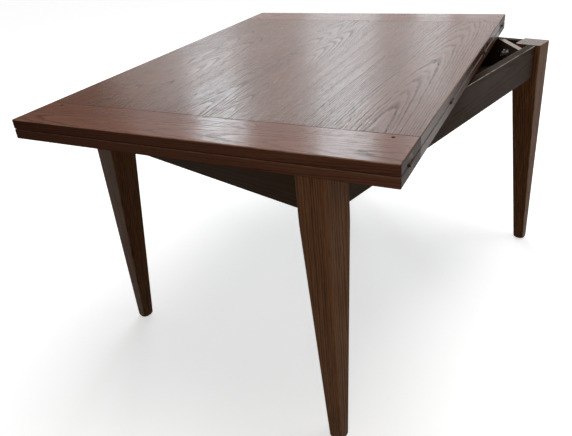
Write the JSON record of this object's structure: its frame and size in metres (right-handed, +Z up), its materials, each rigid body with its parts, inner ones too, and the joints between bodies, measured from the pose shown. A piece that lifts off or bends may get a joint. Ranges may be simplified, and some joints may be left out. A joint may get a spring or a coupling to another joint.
{
  "type": "fold-over dining table",
  "caption": "Dining table whose hinged fold-over top swivels off centre on a bolted frame with tapered legs and a shallow store under the top.",
  "frame": {"origin": "on the floor, under the middle of the table's whole extent with the top turned as pictured", "axes": "+X along the base's long side, +Y along its short side, +Z up"},
  "size_m": [1.3958, 1.1868, 0.74],
  "materials": {
    "top_oak": "dark stained oak, satin lacquer",
    "leg_oak": "stained oak, satin lacquer",
    "apron_oak": "stained oak, satin lacquer",
    "frame_wood": "bare hardwood",
    "plywood": "stained plywood",
    "dark_peg": "dark hardwood",
    "bronze": "darkened brass",
    "steel": "zinc plated",
    "nylon": "matt nylon"
  },
  "bodies": {
    "base": {"leg_front_left": "leg_oak", "leg_front_right": "leg_oak", "leg_back_right": "leg_oak", "leg_back_left": "leg_oak", "brace_front_left": "frame_wood", "brace_front_right": "frame_wood", "brace_back_right": "frame_wood", "brace_back_left": "frame_wood", "apron_front": "apron_oak", "apron_right": "apron_oak", "apron_back": "apron_oak", "apron_left": "apron_oak", "leg_bolts": "steel", "leg_washers": "steel", "wing_nuts": "steel", "brace_screws": "steel", "pivot_rail": "frame_wood", "pivot_bush": "bronze", "store_panel": "plywood", "panel_screws": "steel", "slide_pads": "nylon"},
    "lower_leaf": {"lower_board_1": "top_oak", "lower_board_2": "top_oak", "lower_board_3": "top_oak", "lower_board_4": "top_oak", "lower_board_5": "top_oak", "lower_board_6": "top_oak", "lower_end_board_left": "top_oak", "lower_end_board_right": "top_oak", "lower_pegs": "dark_peg", "lower_hinge_plate_1": "bronze", "lower_hinge_plate_2": "bronze", "lower_hinge_plate_3": "bronze", "lower_hinge_plate_4": "bronze", "lower_hinge_screws": "steel", "hinge_pins": "bronze", "pivot_flange": "steel", "flange_screws": "steel", "keeper_washer": "steel", "lock_nut": "steel", "stop_peg": "dark_peg"},
    "upper_leaf": {"upper_board_1": "top_oak", "upper_board_2": "top_oak", "upper_board_3": "top_oak", "upper_board_4": "top_oak", "upper_board_5": "top_oak", "upper_board_6": "top_oak", "upper_end_board_left": "top_oak", "upper_end_board_right": "top_oak", "upper_pegs": "dark_peg", "upper_hinge_plate_1": "bronze", "upper_hinge_plate_2": "bronze", "upper_hinge_plate_3": "bronze", "upper_hinge_plate_4": "bronze", "upper_hinge_screws": "steel"}
  },
  "joints": [
    {"name": "top_swivel", "type": "hinge", "parent": "base", "child": "lower_leaf", "pos_m": [-0.15669, -0.27694, 0.67], "axis": [0, 0, 1], "range_deg": [-15.5, 74.5]},
    {"name": "leaf_fold", "type": "hinge", "parent": "lower_leaf", "child": "upper_leaf", "pos_m": [0.12039, -0.43412, 0.717], "axis": [0.9636, 0.2672, 0], "range_deg": [0, 180]}
  ]
}
